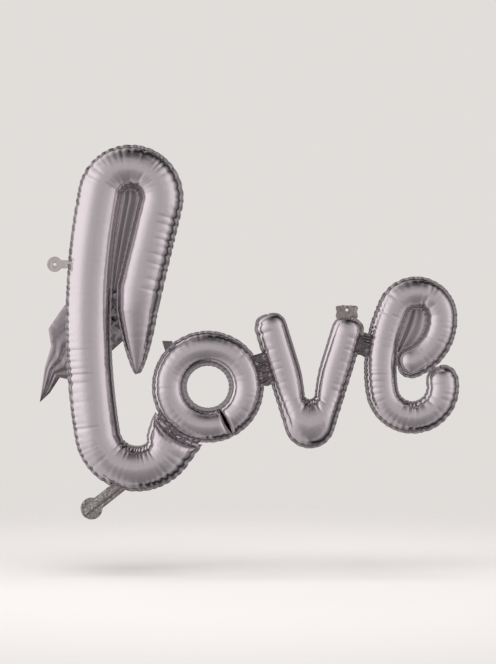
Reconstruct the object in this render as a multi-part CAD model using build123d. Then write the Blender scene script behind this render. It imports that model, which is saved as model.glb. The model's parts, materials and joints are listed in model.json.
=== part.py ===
from build123d import *

import math
import os

# Inflated foil balloon shaped as the joined script word "love", with its valve neck and hanging tabs.
#
# Frame: X runs along the word, Z is up and -Y faces the viewer. Every chamber is made of a front and a
# back foil that meet in the plane Y = 0, apart from the tail chamber, which lies behind the letter l.
# The origin is the centre of the hanging eyelet on the left of the l. All sizes are in millimetres, and
# a pair is (x, z). Each letter is placed from the one on its left.

# Foil and seams
FILM = 0.6  # wall of one foil sheet
SEAM = 5.0  # flat heat seal that runs round every chamber
FOLD_GAP = 0.5  # from a fold line to the foil on each side of it
EYELET_RADIUS = 2.5
FAR = 900.0  # larger than the whole balloon, for cutting tools

# Letter l: one tube from the pointed foot of its loop, over the top, down the stem and round the bottom
L_TUBE = 38.0
L_TOP_CENTRE = (138.5, 121.5)
L_TOP_RADIUS = 54.0
L_BOTTOM_CENTRE = (150.0, -300.0)
L_BOTTOM_RADIUS = 72.0
L_STEM_RADIUS = 1260.0
L_LIMB_SLANT = 13.5  # degrees off vertical of the loop's right limb
L_LIMB_LENGTH = 176.0
L_FOOT_LENGTH = 134.0  # the limb narrows to a point over this length
L_FOOT_TIP_RADIUS = 3.0
L_BOTTOM_END = 378.0  # degrees at which the bottom arc ends, past the fold line

# Tail: the flat chamber that crosses behind the stem, as (x, z) corners
TAIL_OUTLINE = [
    (-33.0, -254.0),
    (-20.0, -172.0),
    (-2.0, -134.0),
    (-17.0, -118.0),
    (13.0, -74.0),
    (110.0, -34.0),
    (160.0, -62.0),
    (152.0, -112.0),
    (88.0, -170.0),
    (30.0, -214.0),
    (4.0, -208.0),
]
TAIL_HALF_DEPTH = 12.0
TAIL_SLOPE = 40.0  # degrees by which its faces lean in
TAIL_STANDOFF = 2.0  # between the stem's back and the tail's front
TAIL_DUCT_PLACE = (138.0, -84.0)
TAIL_DUCT_START = 12.0  # behind the middle of the l
TAIL_DUCT_SINK = 2.0  # into the tail chamber
TAIL_DUCT_RADIUS = 7.0

# Letter o: a ring with a radial slit, where the ends of its tube meet
O_RING_RADIUS = 71.5
O_TUBE = 26.0
O_SLIT_ANGLE = -62.5
O_SLIT_WIDTH = 3.0
O_NEST = 14.0  # how far the ring's centreline reaches in over the end of the l's bottom arc
O_RISE = 76.5  # its centre above that of the l's bottom arc

# Letter v: two arms and the fuller bulb where they meet
V_TUBE = 26.0
V_FROM_O = (19.0, 105.5)  # left arm's top end from the rightmost point of the o
V_SPREAD = (137.0, -6.0)  # from the left arm's top end to the right arm's
V_LEFT_RUN = (54.0, -175.0)  # from the left arm's top end to its foot
V_FEET_APART = 31.0
V_BULB = 38.5

# Letter e: crossbar, upper loop, left side and lower bowl in one tube
E_TUBE = 26.0
E_GAP = 31.0  # from the right arm of the v to the outside of the upper loop
E_RISE = 27.0  # the upper loop's centre above the end of the v's right arm
E_LOOP_RADIUS = 44.0
E_BAR_RADIUS = 83.0
E_BAR_START = -68.0  # degrees round the crossbar's arc
E_BAR_JOIN = 4.4  # degrees where the crossbar's arc runs into the loop
E_BOWL_FROM_LOOP = (-7.5, -126.5)
E_BOWL_RADIUS = 55.0
E_BOWL_END = 10.0
E_SIDE_RADIUS = 266.0

# Fold lines between the letters
LO_LINE_ANGLE = 234.3  # direction from the o's centre towards the l
LO_LINE_GAP = 0.5  # past the o's seam
LO_WEB_REACH = 14.0
LO_WEB_LENGTH = 80.0
LO_TRIM = 1.6  # share of the web's length over which the l's seam is kept off the line
OV_LINE_GAP = 6.0  # past the o's seam
OV_WEB_LENGTH = 64.0
VE_LINE_GAP = 2.5  # past the v's seam
VE_LINE_DROP = 12.0  # the web's middle below the end of the v's arm
VE_WEB_LENGTH = 44.0
WEB_OVERLAP = 6.0  # how far a web runs on into the tube

# Air ducts through the fold lines: a flattened sleeve
DUCT_WIDTH = 14.0
DUCT_DEPTH = 4.4
DUCT_REACH = 18.0

# Hanging tabs
TAB_FOLD_GAP = 0.7
TAB_L_RADIUS = 14.0
TAB_L_NECK = 15.0
TAB_L_LINE_GAP = 1.0  # past the l's seam
TAB_O_SIZE = (18.0, 20.0)
TAB_O_FOLD_GAP = 1.5  # wider, because this tab also folds down past level
TAB_O_ANGLE = 132.0  # where it stands on the ring
TAB_O_LINE_GAP = 8.5  # its fold line past the o's seam
TAB_O_WEB_CUT = 8.0  # by which the gusset narrows at its left
TAB_O_WEB_FLARE = 12.0  # by which it widens at its right, and the depth that goes with that
TAB_V_SIZE = (40.0, 17.0)
TAB_V_LINE_GAP = 0.5  # its fold line past the v's seam
TAB_CORNER = 4.0

# Valve neck, in its own plane: x outwards from the fold line at its root
NECK_ANGLE = 250.12  # where it stands on the l's bottom arc
NECK_LINE_GAP = 4.1  # its fold line past the l's seam
NECK_HEADING = 218.5
NECK_WIDTH = 24.0
NECK_LENGTH = 54.0  # to the centre of the round end
NECK_END_RADIUS = 20.0
NECK_HALF_DEPTH = 1.0
NECK_FOLD_GAP = 1.2
NECK_WEB_REACH = 16.0
STRAW_RADIUS = 3.2
VALVE_FILM = 0.4
VALVE_WIDTH = 18.0
VALVE_START = 4.0
VALVE_END_INSET = 4.0  # from the mouth to the end of the valve film
RIDGE_END_INSET = 1.0  # from the mouth to the end of the ridge over the valve film
CUT_OVERRUN = 5.0  # by which a cutting tool runs past what it cuts
FLAP_LENGTH = 68.0


# Geometry helpers


def place(x, z, y=0.0):
    return Vector(x, y, z)


def heading(degrees):
    """Unit vector in the word's plane, measured from +X towards +Z."""
    return Vector(math.cos(math.radians(degrees)), 0, math.sin(math.radians(degrees)))


def arc(centre, radius, start, end):
    """Arc from one bearing to another, whose own circle starts where the arc does."""
    frame = Plane(origin=place(*centre), x_dir=heading(start), z_dir=(0, -1, 0))
    return frame * CenterArc((0, 0), radius, 0, end - start)


def bearing(a, b):
    return math.degrees(math.atan2(b[1] - a[1], b[0] - a[0])) % 360


def wrapping_centre(top, top_radius, bottom, bottom_radius, radius):
    """Centre of the large circle whose left side touches both small circles from outside."""
    to_top, to_bottom = radius - top_radius, radius - bottom_radius
    apart = math.dist(top, bottom)
    along = (apart**2 + to_top**2 - to_bottom**2) / (2 * apart)
    off = math.sqrt(to_top**2 - along**2)
    ux, uz = (bottom[0] - top[0]) / apart, (bottom[1] - top[1]) / apart
    return (top[0] + along * ux - off * uz, top[1] + along * uz + off * ux)


def bar(path, radius):
    """Round bar along a flat path, square at both ends."""
    section = Plane(origin=path @ 0, z_dir=path % 0) * Circle(radius)
    return sweep(section, path=path)


def dome(point, outwards, radius):
    """Half a ball, standing on a point."""
    half = Sphere(radius, arc_size1=0, align=(Align.CENTER, Align.CENTER, Align.MIN))
    return Plane(origin=point, z_dir=outwards) * half


def ball(point, radius):
    """Ball whose poles face front and back."""
    return Pos(*point) * Rot(90, 0, 0) * Sphere(radius)


def tube(path, radius):
    """Round bar along a flat path with a dome at each end."""
    return bar(path, radius) + dome(path @ 0, -(path % 0), radius) + dome(path @ 1, path % 1, radius)


def slab(half_depth):
    return Box(2 * FAR, 2 * half_depth, 2 * FAR)


def beyond(point, towards, size, offset=0.0):
    """Block of a given size past a plane that faces `towards`."""
    return Plane(origin=point + towards * offset, z_dir=towards) * Pos(0, 0, size / 2) * Box(size, size, size)


def strip(point, towards, start, end, length, half_depth=FILM):
    """Flat piece from start to end past a line, and of a given length along it."""
    frame = Plane(origin=point, x_dir=towards, z_dir=(0, -1, 0))
    return frame * Pos((start + end) / 2, 0, 0) * Box(end - start, length, 2 * half_depth)


def letter_foil(solid_at, extra=None, chamber_cut=None, cuts=()):
    """Walls of a chamber: solid_at(offset) is its shape grown by offset, extra is more flat seam."""
    outer, inner, sealed = solid_at(0), solid_at(-FILM), solid_at(SEAM) & slab(FILM)
    if chamber_cut is not None:
        outer -= beyond(*chamber_cut, -SEAM)
        inner -= beyond(*chamber_cut, -SEAM - FILM)
    foil = outer + sealed
    if extra is not None:
        foil += extra
    foil -= inner
    for tool in cuts:
        foil -= tool
    return foil


def halves(shape, middle=0.0):
    """Front and back of a shape that is the same on both sides of the plane Y = middle."""
    back = shape & Pos(0, middle + FAR / 2, 0) * Box(2 * FAR, FAR, 2 * FAR)
    return mirror(back, about=Plane.XZ.offset(-middle)), back


def duct_shape(point, along, reach, grow=0.0):
    """Flattened sleeve, solid, centred on a point."""
    section = Plane(origin=point - along * reach, x_dir=(0, 1, 0), z_dir=along)
    outline = RectangleRounded(
        DUCT_DEPTH + 2 * grow, DUCT_WIDTH + 2 * grow, (DUCT_DEPTH + 2 * grow) / 2 - 0.01
    )
    return extrude(section * outline, amount=2 * reach)


def duct(point, along, reach):
    return duct_shape(point, along, reach) - duct_shape(point, along, reach + CUT_OVERRUN, -FILM)


# Centrelines

l_stem_centre = wrapping_centre(
    L_TOP_CENTRE, L_TOP_RADIUS, L_BOTTOM_CENTRE, L_BOTTOM_RADIUS, L_STEM_RADIUS
)
l_top_left = bearing(l_stem_centre, L_TOP_CENTRE)
l_bottom_left = bearing(l_stem_centre, L_BOTTOM_CENTRE)
l_limb_up = heading(90 - L_LIMB_SLANT)
l_limb_top = place(*L_TOP_CENTRE) + heading(-L_LIMB_SLANT) * L_TOP_RADIUS
l_limb_foot = l_limb_top - l_limb_up * L_LIMB_LENGTH
l_path = Wire(
    [
        Edge.make_line(l_limb_foot, l_limb_top),
        arc(L_TOP_CENTRE, L_TOP_RADIUS, -L_LIMB_SLANT, l_top_left),
        arc(l_stem_centre, L_STEM_RADIUS, l_top_left, l_bottom_left),
        arc(L_BOTTOM_CENTRE, L_BOTTOM_RADIUS, l_bottom_left, L_BOTTOM_END),
    ]
)
l_foot_tip = l_limb_foot - place(0, L_FOOT_LENGTH)

o_centre = (L_BOTTOM_CENTRE[0] + L_BOTTOM_RADIUS + O_RING_RADIUS - O_NEST, L_BOTTOM_CENTRE[1] + O_RISE)
o_edge = O_RING_RADIUS + O_TUBE

v_left_top = place(o_centre[0] + o_edge + V_FROM_O[0], o_centre[1] + V_FROM_O[1])
v_right_top = v_left_top + place(*V_SPREAD)
v_left_foot = v_left_top + place(*V_LEFT_RUN)
v_right_foot = v_left_foot + place(V_FEET_APART, 0)

e_loop_x = v_right_top.X + V_TUBE + E_GAP + E_TUBE + E_LOOP_RADIUS
e_loop_centre = (e_loop_x, v_right_top.Z + E_RISE)
e_bowl_centre = (e_loop_centre[0] + E_BOWL_FROM_LOOP[0], e_loop_centre[1] + E_BOWL_FROM_LOOP[1])
e_bar_centre = (
    e_loop_centre[0] - (E_BAR_RADIUS - E_LOOP_RADIUS) * math.cos(math.radians(E_BAR_JOIN)),
    e_loop_centre[1] - (E_BAR_RADIUS - E_LOOP_RADIUS) * math.sin(math.radians(E_BAR_JOIN)),
)
e_side_centre = wrapping_centre(
    e_loop_centre, E_LOOP_RADIUS, e_bowl_centre, E_BOWL_RADIUS, E_SIDE_RADIUS
)
e_side_top = bearing(e_side_centre, e_loop_centre)
e_side_bottom = bearing(e_side_centre, e_bowl_centre)
e_path = Wire(
    [
        arc(e_bar_centre, E_BAR_RADIUS, E_BAR_START, E_BAR_JOIN),
        arc(e_loop_centre, E_LOOP_RADIUS, E_BAR_JOIN, e_side_top),
        arc(e_side_centre, E_SIDE_RADIUS, e_side_top, e_side_bottom),
        arc(e_bowl_centre, E_BOWL_RADIUS, e_side_bottom, 360.0 + E_BOWL_END),
    ]
)


def on_left(centre, radius, height):
    """Bearing of the point on a large circle's left side at a given height."""
    return 180 - math.degrees(math.asin((height - centre[1]) / radius))


def counter_web(start, side, arcs):
    """Flat film that closes a letter's loop, out to the middle of the tube round it."""
    centre, radius, top = side
    low = on_left(centre, radius, start.Z)
    edges = arcs + [arc(centre, radius, top, low)]
    edges.append(Edge.make_line(edges[-1] @ 1, start))
    return extrude(make_face(Wire(edges)), amount=FILM, dir=(0, 1, 0), both=True)


# Fold lines between the letters: a point on each, and the direction from left to right across it

v_left_down = (v_left_foot - v_left_top).normalized()
v_right_down = (v_right_foot - v_right_top).normalized()
lo_across = -heading(LO_LINE_ANGLE)
lo_point = place(*o_centre) - lo_across * (o_edge + SEAM + LO_LINE_GAP)
ov_across = Vector(-v_left_down.Z, 0, v_left_down.X)
ov_point = place(*o_centre) + ov_across * (o_edge + SEAM + OV_LINE_GAP)
ve_across = Vector(-v_right_down.Z, 0, v_right_down.X)
ve_point = v_right_top + ve_across * (V_TUBE + SEAM + VE_LINE_GAP) + v_right_down * VE_LINE_DROP

# Reach of each web from its line to the tube that it belongs to
ov_reach_o = OV_LINE_GAP + SEAM + WEB_OVERLAP
ov_reach_v = (v_left_top - ov_point).dot(ov_across) - V_TUBE + WEB_OVERLAP
ve_reach_v = VE_LINE_GAP + SEAM + WEB_OVERLAP
ve_reach_e = (ve_point - place(*e_side_centre)).length - E_SIDE_RADIUS - E_TUBE + WEB_OVERLAP


def web(point, across, reach, length, side):
    """Flat seam that carries a letter up to a fold line, on its left (-1) or its right (+1)."""
    start, end = sorted((side * FOLD_GAP, side * reach))
    return strip(point, across, start, end, length)


# Air ducts

duct_seats = {
    "air_duct_l_o": (lo_point, lo_across),
    "air_duct_o_v": (ov_point, ov_across),
    "air_duct_v_e": (ve_point, ve_across),
}
duct_tools = {name: duct_shape(*seat, DUCT_REACH) for name, seat in duct_seats.items()}
ducts = {name: duct(*seat, DUCT_REACH) for name, seat in duct_seats.items()}

# Valve neck, films and flaps

neck_out = heading(NECK_HEADING)
neck_root = place(*L_BOTTOM_CENTRE) + heading(NECK_ANGLE) * (
    L_BOTTOM_RADIUS + L_TUBE + SEAM + NECK_LINE_GAP
)
neck_frame = Plane(origin=neck_root, x_dir=neck_out, z_dir=(0, -1, 0))
neck_mouth = NECK_LENGTH + NECK_END_RADIUS


def neck_box(start, end, width, half_depth):
    return neck_frame * Pos((start + end) / 2, 0, 0) * Box(end - start, width, 2 * half_depth)


def neck_rod(start, end, radius):
    return neck_frame * Pos((start + end) / 2, 0, 0) * Rot(0, 90, 0) * Cylinder(radius, end - start)


def neck_shapes():
    """Front and back foil of the neck, then the front and back film of its valve."""
    disc = neck_frame * Pos(NECK_LENGTH, 0, 0) * Cylinder(NECK_END_RADIUS, 2 * NECK_HALF_DEPTH)
    strap = neck_box(NECK_FOLD_GAP, NECK_LENGTH, NECK_WIDTH, NECK_HALF_DEPTH)
    film_end = neck_mouth - VALVE_END_INSET
    film_out = neck_box(VALVE_START, film_end, VALVE_WIDTH, VALVE_FILM)
    film_out += neck_rod(VALVE_START, film_end, STRAW_RADIUS + VALVE_FILM)
    ridge = neck_rod(VALVE_START, neck_mouth - RIDGE_END_INSET, STRAW_RADIUS + VALVE_FILM + FILM)
    foil = disc + strap + ridge
    foil -= film_out + neck_rod(VALVE_START, neck_mouth + CUT_OVERRUN, STRAW_RADIUS + VALVE_FILM)
    film = film_out - neck_rod(VALVE_START - CUT_OVERRUN, film_end + CUT_OVERRUN, STRAW_RADIUS)
    return *halves(foil), *halves(film)


flap_front, flap_back = halves(neck_box(-FLAP_LENGTH, -NECK_FOLD_GAP, VALVE_WIDTH, VALVE_FILM))
neck_web = neck_box(-NECK_WEB_REACH, -NECK_FOLD_GAP, NECK_WIDTH, NECK_HALF_DEPTH)
neck_room = neck_box(-NECK_FOLD_GAP, 2 * NECK_WIDTH, NECK_WIDTH + CUT_OVERRUN, 3 * NECK_HALF_DEPTH)

# Hanging tabs: both sheets are welded together all over


def eyelet_plate(outline, hole, amount=FILM):
    """Flat tab with its eyelet, from a sketch in the word's plane."""
    return extrude(Plane.XZ * (outline - hole), amount=amount, both=True)


l_left_edge = l_stem_centre[0] - math.sqrt(L_STEM_RADIUS**2 - l_stem_centre[1] ** 2) - L_TUBE
tab_l_fold = l_left_edge - SEAM - TAB_L_LINE_GAP
tab_l_web = strip(place(tab_l_fold, 0), heading(0), TAB_FOLD_GAP, SEAM + 2 * TAB_L_LINE_GAP, TAB_L_NECK)


def tab_l():
    reach = tab_l_fold - TAB_FOLD_GAP
    neck = Pos(reach / 2, 0) * Rectangle(reach, TAB_L_NECK)
    return eyelet_plate(Circle(TAB_L_RADIUS) + neck, Circle(EYELET_RADIUS))


tab_o_fold = place(*o_centre) + heading(TAB_O_ANGLE) * (o_edge + SEAM + TAB_O_LINE_GAP)


def tab_o():
    """Folded back, so that its flat side faces up."""
    width, depth = TAB_O_SIZE
    middle = Pos(0, TAB_O_FOLD_GAP + depth / 2)
    plate = middle * (RectangleRounded(width, depth, TAB_CORNER) - Circle(EYELET_RADIUS))
    return Pos(*tab_o_fold) * extrude(plate, amount=FILM, both=True)


def tab_o_web():
    """Gusset from the ring's seam up to the fold line."""
    half = TAB_O_SIZE[0] / 2
    drop = 2 * half + TAB_O_WEB_FLARE
    corners = [(-half, 0), (half, 0), (drop - half, -drop), (TAB_O_WEB_CUT - half, -drop)]
    gusset = make_face(Polyline(*corners, close=True))
    plate = extrude(Plane.XZ * gusset, amount=FILM, both=True)
    return Pos(*(tab_o_fold - place(0, TAB_FOLD_GAP))) * plate


tab_v_rise = V_TUBE + SEAM + TAB_V_LINE_GAP
tab_v_fold = v_right_top + place(0, tab_v_rise)


def tab_v():
    width, height = TAB_V_SIZE
    middle = Pos(tab_v_fold.X, tab_v_fold.Z + TAB_FOLD_GAP + height / 2)
    return eyelet_plate(middle * RectangleRounded(width, height, TAB_CORNER), middle * Circle(EYELET_RADIUS))


def tab_v_web():
    return strip(tab_v_fold, heading(-90), TAB_FOLD_GAP, tab_v_rise - V_TUBE / 2, TAB_V_SIZE[0])


# Letters


def l_solid(offset):
    """The loop with its pointed foot, and the stem in a second sweep, because the two may overlap."""
    radius, tip_radius = L_TUBE + offset, L_FOOT_TIP_RADIUS + offset / 2
    foot_frame = Plane(origin=l_limb_foot, z_dir=(0, 0, -1)) * Pos(0, 0, L_FOOT_LENGTH / 2)
    foot = foot_frame * Cone(radius, tip_radius, L_FOOT_LENGTH)
    loop = bar(Wire(l_path.edges()[:2]), radius) + ball(l_limb_foot, radius) + foot
    return loop + ball(l_foot_tip, tip_radius) + bar(Wire(l_path.edges()[2:]), radius)


def o_solid(offset):
    """Ring grown by offset. The seam's ring is closed, and a chamber's stops short of the slit."""
    half_slit = math.degrees((O_SLIT_WIDTH / 2 - min(offset, 0)) / O_RING_RADIUS)
    if offset > 0:
        return Pos(*place(*o_centre)) * Rot(90, 0, 0) * Torus(O_RING_RADIUS, O_TUBE + offset)
    start, end = O_SLIT_ANGLE + half_slit, O_SLIT_ANGLE + 360 - half_slit
    return bar(Wire([arc(o_centre, O_RING_RADIUS, start, end)]), O_TUBE + offset)


def v_solid(offset):
    left = Wire([Edge.make_line(v_left_top, v_left_foot)])
    right = Wire([Edge.make_line(v_right_top, v_right_foot)])
    middle = (v_left_foot + v_right_foot) / 2
    return tube(left, V_TUBE + offset) + tube(right, V_TUBE + offset) + ball(middle, V_BULB + offset)


def e_solid(offset):
    return tube(e_path, E_TUBE + offset)


tail_middle = L_TUBE + TAIL_STANDOFF + TAIL_HALF_DEPTH


def tail_solid(offset):
    """Flat pillow with leaning faces, thickest in the middle."""
    outline = make_face(Polyline(*TAIL_OUTLINE, close=True))
    if offset != SEAM:
        outline = offset_2d(outline, offset - SEAM)
    if offset > 0:
        return Pos(0, tail_middle, 0) * extrude(Plane.XZ * outline, amount=FILM, both=True)
    depth = TAIL_HALF_DEPTH + offset
    front = extrude(Plane.XZ * outline, amount=depth, taper=TAIL_SLOPE)
    back = extrude(Plane.XZ * outline, amount=-depth, taper=TAIL_SLOPE)
    return Pos(0, tail_middle, 0) * (front + back)


def offset_2d(face, amount):
    return offset(face, amount=amount, kind=Kind.INTERSECTION)


def tail_duct_shape(grow=0.0, overrun=0.0):
    """Round sleeve from inside the l's pointed foot, back into the tail chamber."""
    start = place(*TAIL_DUCT_PLACE, TAIL_DUCT_START - overrun)
    length = tail_middle - TAIL_HALF_DEPTH + TAIL_DUCT_SINK - TAIL_DUCT_START + 2 * overrun
    section = Plane(origin=start, x_dir=(1, 0, 0), z_dir=(0, 1, 0)) * Circle(TAIL_DUCT_RADIUS + grow)
    return extrude(section, amount=length)


def l_line_trim():
    """Takes the l's seam back to its side of the fold line, near the line only."""
    deep = 2 * L_TUBE
    return strip(lo_point, lo_across, -FOLD_GAP, deep, LO_WEB_LENGTH * LO_TRIM, deep)


def build():
    made = {}
    tail_duct = tail_duct_shape()
    l_foil = letter_foil(
        l_solid,
        extra=web(lo_point, lo_across, LO_WEB_REACH, LO_WEB_LENGTH, -1)
        + neck_web
        + tab_l_web
        + counter_web(l_limb_foot, (l_stem_centre, L_STEM_RADIUS, l_top_left), l_path.edges()[:2]),
        chamber_cut=(lo_point, lo_across, L_TUBE * 4),
        cuts=[
            l_line_trim(),
            neck_room,
            duct_tools["air_duct_l_o"],
            flap_front + flap_back,
        ],
    )
    made["l_front_foil"], l_back = halves(l_foil)
    made["l_back_foil"] = l_back - tail_duct
    o_foil = letter_foil(
        o_solid,
        extra=web(lo_point, lo_across, LO_WEB_REACH, LO_WEB_LENGTH, 1)
        + web(ov_point, ov_across, ov_reach_o, OV_WEB_LENGTH, -1)
        + tab_o_web(),
        cuts=[duct_tools["air_duct_l_o"], duct_tools["air_duct_o_v"]],
    )
    made["o_front_foil"], made["o_back_foil"] = halves(o_foil)
    v_foil = letter_foil(
        v_solid,
        extra=web(ov_point, ov_across, ov_reach_v, OV_WEB_LENGTH, 1)
        + web(ve_point, ve_across, ve_reach_v, VE_WEB_LENGTH, -1)
        + tab_v_web(),
        cuts=[duct_tools["air_duct_o_v"], duct_tools["air_duct_v_e"]],
    )
    made["v_front_foil"], made["v_back_foil"] = halves(v_foil)
    e_foil = letter_foil(
        e_solid,
        extra=web(ve_point, ve_across, ve_reach_e, VE_WEB_LENGTH, 1)
        + counter_web(e_path @ 0, (e_side_centre, E_SIDE_RADIUS, e_side_top), e_path.edges()[:2]),
        cuts=[duct_tools["air_duct_v_e"]],
    )
    made["e_front_foil"], made["e_back_foil"] = halves(e_foil)
    tail_foil = tail_solid(0) + tail_solid(SEAM) - tail_solid(-FILM)
    tail_front, made["tail_back_foil"] = halves(tail_foil, tail_middle)
    made["tail_front_foil"] = tail_front - tail_duct
    made["air_duct_tail"] = tail_duct - tail_duct_shape(-FILM, CUT_OVERRUN)
    made.update(ducts)
    neck = neck_shapes()
    made["neck_front_foil"], made["neck_back_foil"], made["valve_film_front"], made["valve_film_back"] = neck
    made["valve_flap_front"], made["valve_flap_back"] = flap_front, flap_back
    made["hanging_tab_l"], made["hanging_tab_o"], made["hanging_tab_v"] = tab_l(), tab_o(), tab_v()
    return made


if __name__ == "__main__":
    os.makedirs("parts", exist_ok=True)
    for name, shape in build().items():
        export_step(shape, f"parts/{name}.step")
        print(name, len(shape.solids()), round(shape.volume))
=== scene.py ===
"""Looks of the inflated script balloon: metallised film sheets, seams, folds, valve neck and tabs.

Metres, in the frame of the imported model: X runs along the word, Z is up and -Y faces the viewer.
"""

import json
import math
import random

import bmesh
import bpy
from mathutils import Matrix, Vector, noise


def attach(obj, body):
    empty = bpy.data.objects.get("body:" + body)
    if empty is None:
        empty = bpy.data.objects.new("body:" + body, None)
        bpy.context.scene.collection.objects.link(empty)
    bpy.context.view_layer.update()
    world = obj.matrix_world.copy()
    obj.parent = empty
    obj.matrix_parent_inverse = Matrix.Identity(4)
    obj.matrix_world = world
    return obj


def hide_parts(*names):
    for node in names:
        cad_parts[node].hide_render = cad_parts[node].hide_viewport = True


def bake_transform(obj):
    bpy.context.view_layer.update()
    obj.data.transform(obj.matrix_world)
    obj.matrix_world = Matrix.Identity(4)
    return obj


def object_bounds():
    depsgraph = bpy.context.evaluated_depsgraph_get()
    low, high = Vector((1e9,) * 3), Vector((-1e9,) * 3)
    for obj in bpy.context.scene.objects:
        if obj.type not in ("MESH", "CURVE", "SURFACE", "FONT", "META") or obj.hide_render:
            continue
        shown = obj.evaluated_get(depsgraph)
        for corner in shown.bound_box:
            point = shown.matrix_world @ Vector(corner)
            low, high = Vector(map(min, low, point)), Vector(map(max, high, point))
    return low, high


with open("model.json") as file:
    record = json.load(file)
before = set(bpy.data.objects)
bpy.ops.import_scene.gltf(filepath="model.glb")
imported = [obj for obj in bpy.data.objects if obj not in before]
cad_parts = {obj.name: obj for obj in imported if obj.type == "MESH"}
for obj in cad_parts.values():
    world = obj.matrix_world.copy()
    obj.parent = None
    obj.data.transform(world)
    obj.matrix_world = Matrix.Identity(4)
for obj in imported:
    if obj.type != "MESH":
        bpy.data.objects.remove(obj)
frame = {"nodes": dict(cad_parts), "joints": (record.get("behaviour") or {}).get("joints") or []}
cad_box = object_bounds()
MM = 0.001

# --- Camera, floor and light ------------------------------------------------------------------------
# The balloon hangs free in a plain studio, seen square on through a long lens. A pale floor lies under
# it. The room is bright on the left and grey in front, so that the foil has something to mirror.
VIEW_WIDTH = 0.905
CAMERA_AWAY = 3.4
SENSOR = 36.0
PICTURE = (496, 664)
FLOOR_DROP = 0.10
FLOOR_SIZE = 7.0


def srgb(code):
    """Linear colour from an sRGB hex code."""
    parts = [int(code[i : i + 2], 16) / 255 for i in (1, 3, 5)]
    return [c / 12.92 if c <= 0.04045 else ((c + 0.055) / 1.055) ** 2.4 for c in parts] + [1.0]


def add_node(tree, kind, settings=None, links=None):
    """New node with its sockets or properties set, and its inputs linked to other nodes' outputs."""
    node = tree.nodes.new(kind)
    for key, value in (settings or {}).items():
        if isinstance(key, int) or key in node.inputs:
            node.inputs[key].default_value = value
        else:
            setattr(node, key, value)
    for key, source in (links or {}).items():
        tree.links.new(source, node.inputs[key])
    return node


def fill_ramp(node, stops):
    """Sets a colour ramp's stops, each a place from 0 to 1 and a grey."""
    ramp = node.color_ramp
    while len(ramp.elements) > 1:
        ramp.elements.remove(ramp.elements[-1])
    for index, (place, grey) in enumerate(stops):
        element = ramp.elements[0] if index == 0 else ramp.elements.new(place)
        element.position = place
        element.color = (grey, grey, grey, 1)
    return node


middle = (cad_box[0] + cad_box[1]) / 2
camera_data = bpy.data.cameras.new("camera")
camera_data.sensor_width = SENSOR
camera_data.lens = SENSOR * CAMERA_AWAY / (VIEW_WIDTH * PICTURE[1] / PICTURE[0])
camera = bpy.data.objects.new("camera", camera_data)
camera.location = (middle.x, -CAMERA_AWAY, middle.z)
camera.rotation_euler = (math.radians(90), 0, 0)
bpy.context.collection.objects.link(camera)
bpy.context.scene.camera = camera
bpy.context.scene.view_settings.view_transform = "Standard"

world = bpy.data.worlds.new("studio")
bpy.context.scene.world = world
world.use_nodes = True
tree = world.node_tree
tree.nodes.clear()
direction = add_node(tree, "ShaderNodeTexCoord")
axes = add_node(tree, "ShaderNodeSeparateXYZ", links={0: direction.outputs["Generated"]})
forward = add_node(tree, "ShaderNodeMath", {"operation": "MULTIPLY", 1: -1.0}, {0: axes.outputs["Y"]})
around = add_node(
    tree, "ShaderNodeMath", {"operation": "ARCTAN2"}, {0: axes.outputs["X"], 1: forward.outputs[0]}
)
turn = add_node(
    tree,
    "ShaderNodeMapRange",
    {"From Min": -math.pi, "From Max": math.pi},
    {"Value": around.outputs[0]},
)
# round the room from behind, by the left, the front at a half and the right, to behind again
ROOM_ROUND = [
    (0.00, 0.34),
    (0.07, 0.80),
    (0.14, 0.96),
    (0.20, 1.00),
    (0.28, 1.00),
    (0.34, 0.92),
    (0.40, 0.68),
    (0.45, 0.52),
    (0.53, 0.47),
    (0.62, 0.56),
    (0.69, 0.80),
    (0.74, 0.84),
    (0.78, 0.45),
    (0.82, 0.24),
    (0.87, 0.06),
    (0.93, 0.03),
    (1.00, 0.34),
]
room_round = fill_ramp(
    add_node(tree, "ShaderNodeValToRGB", links={"Fac": turn.outputs[0]}), ROOM_ROUND
)
# up the room: dim by the floor, full at eye height, dark ceiling
ROOM_UP = [
    (0.00, 0.42),
    (0.25, 0.60),
    (0.40, 0.80),
    (0.47, 1.00),
    (0.70, 1.00),
    (0.86, 0.70),
    (0.95, 0.30),
    (1.00, 0.12),
]
height = add_node(
    tree, "ShaderNodeMapRange", {"From Min": -1.0, "From Max": 1.0}, {"Value": axes.outputs["Z"]}
)
room_up = fill_ramp(add_node(tree, "ShaderNodeValToRGB", links={"Fac": height.outputs[0]}), ROOM_UP)
room = add_node(
    tree,
    "ShaderNodeMix",
    {"data_type": "RGBA", "blend_type": "MULTIPLY", "Factor": 1.0},
    {6: room_round.outputs[0], 7: room_up.outputs[0]},
)
tint = add_node(
    tree,
    "ShaderNodeMix",
    {"data_type": "RGBA", "blend_type": "MULTIPLY", "Factor": 1.0, 7: srgb("#FFF8F8")},
    {6: room.outputs[2]},
)
mirrored = add_node(tree, "ShaderNodeBackground", {"Strength": 1.12}, {"Color": tint.outputs[2]})
backdrop = add_node(tree, "ShaderNodeBackground", {"Color": srgb("#E1DDDA"), "Strength": 1.0})
ray = add_node(tree, "ShaderNodeLightPath")
seen = add_node(
    tree,
    "ShaderNodeMixShader",
    links={0: ray.outputs["Is Camera Ray"], 1: mirrored.outputs[0], 2: backdrop.outputs[0]},
)
add_node(tree, "ShaderNodeOutputWorld", links={"Surface": seen.outputs[0]})


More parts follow.
